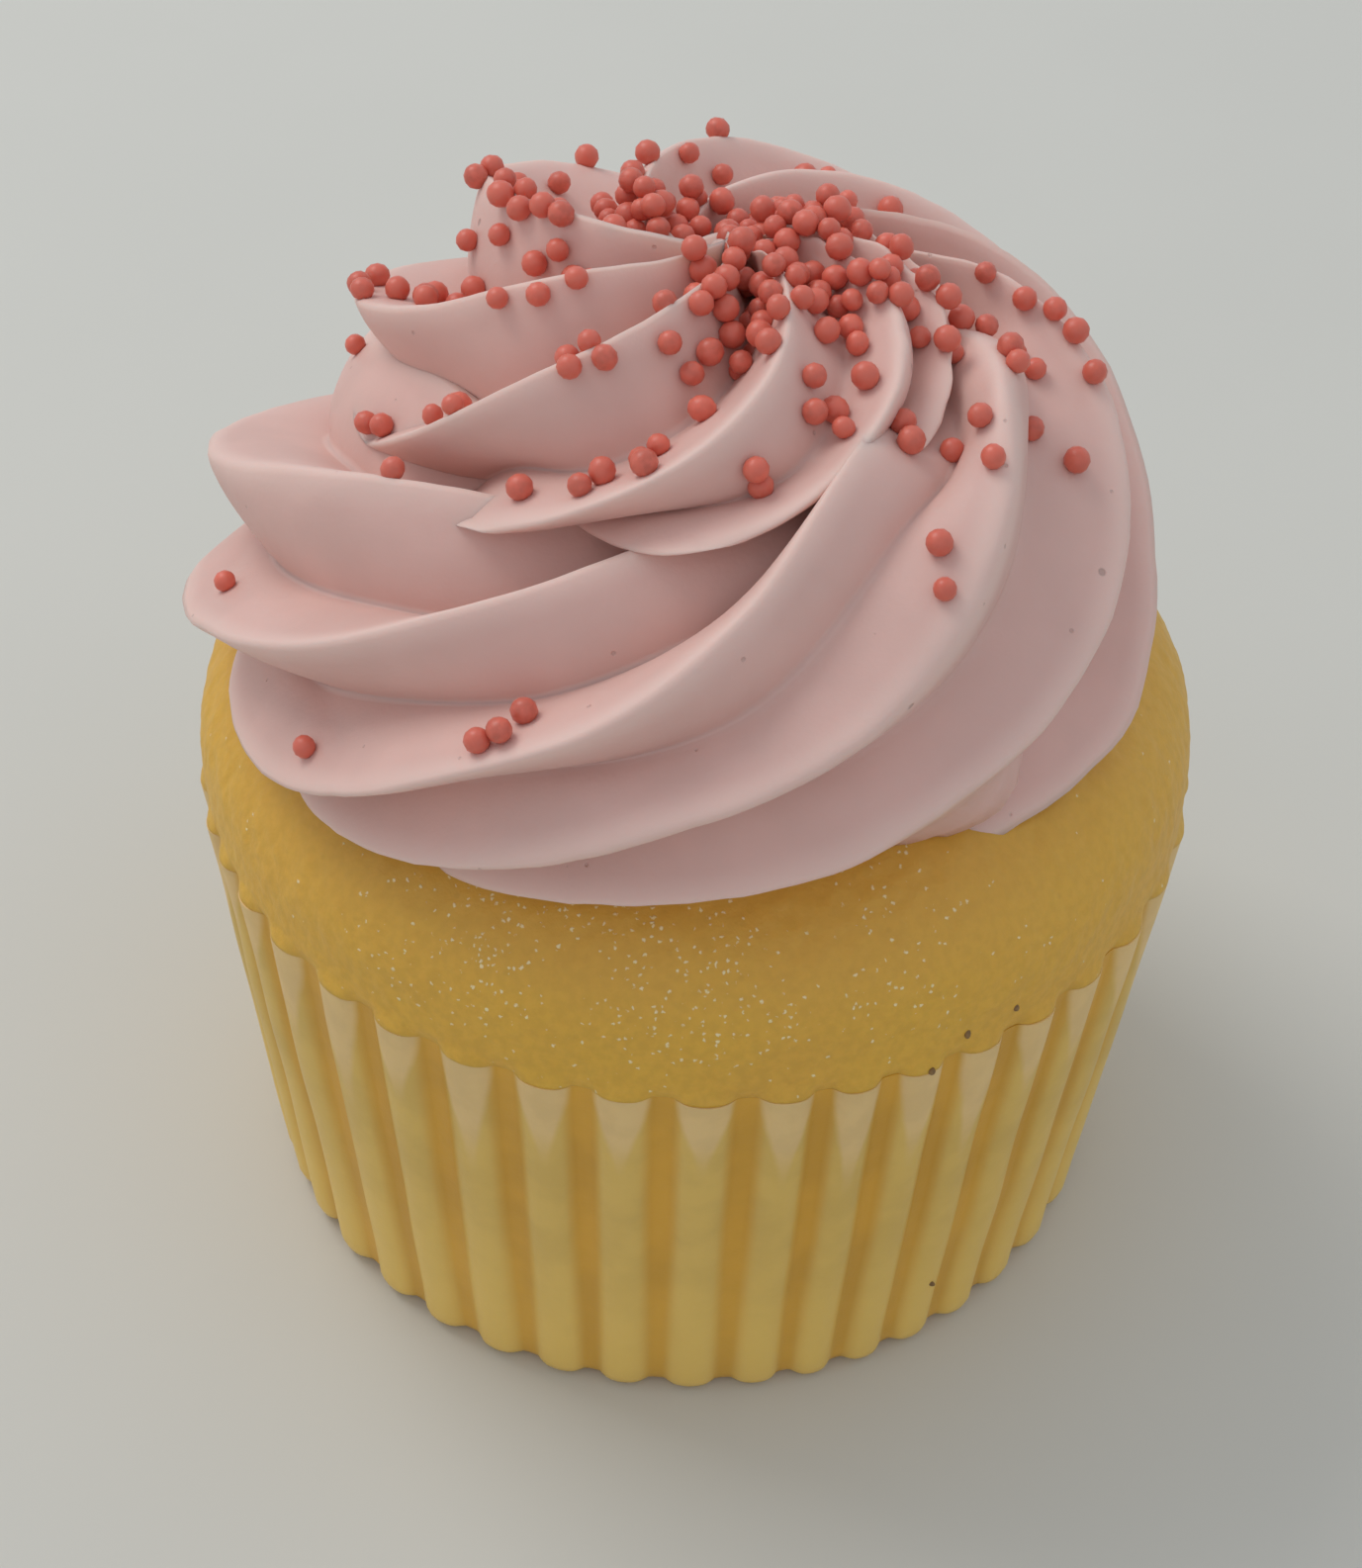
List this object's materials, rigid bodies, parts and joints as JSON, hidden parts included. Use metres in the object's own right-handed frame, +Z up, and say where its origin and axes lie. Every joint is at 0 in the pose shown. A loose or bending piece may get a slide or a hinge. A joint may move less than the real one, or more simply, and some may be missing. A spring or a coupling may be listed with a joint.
{
  "type": "cupcake",
  "caption": "Cupcake in a pleated paper case, with a domed sponge and a tall piped swirl of frosting.",
  "frame": {"origin": "middle of the flat underside of the paper case", "axes": "+Z up, along the axis of the case; +X to the right and +Y to the back as the cake is usually seen, with the frosting rope starting at the left"},
  "size_m": [0.0718, 0.0718, 0.075],
  "materials": {
    "oiled_paper": "thin greaseproof paper, golden where it has soaked through and white at the rim",
    "yellow_sponge": "moist, fine-grained golden sponge",
    "pink_cream": "smooth matte buttercream",
    "sugar_bead": "coral red sugar shell"
  },
  "bodies": {
    "root": {"paper_case": "oiled_paper", "cake": "yellow_sponge", "frosting": "pink_cream"}
  },
  "joints": []
}
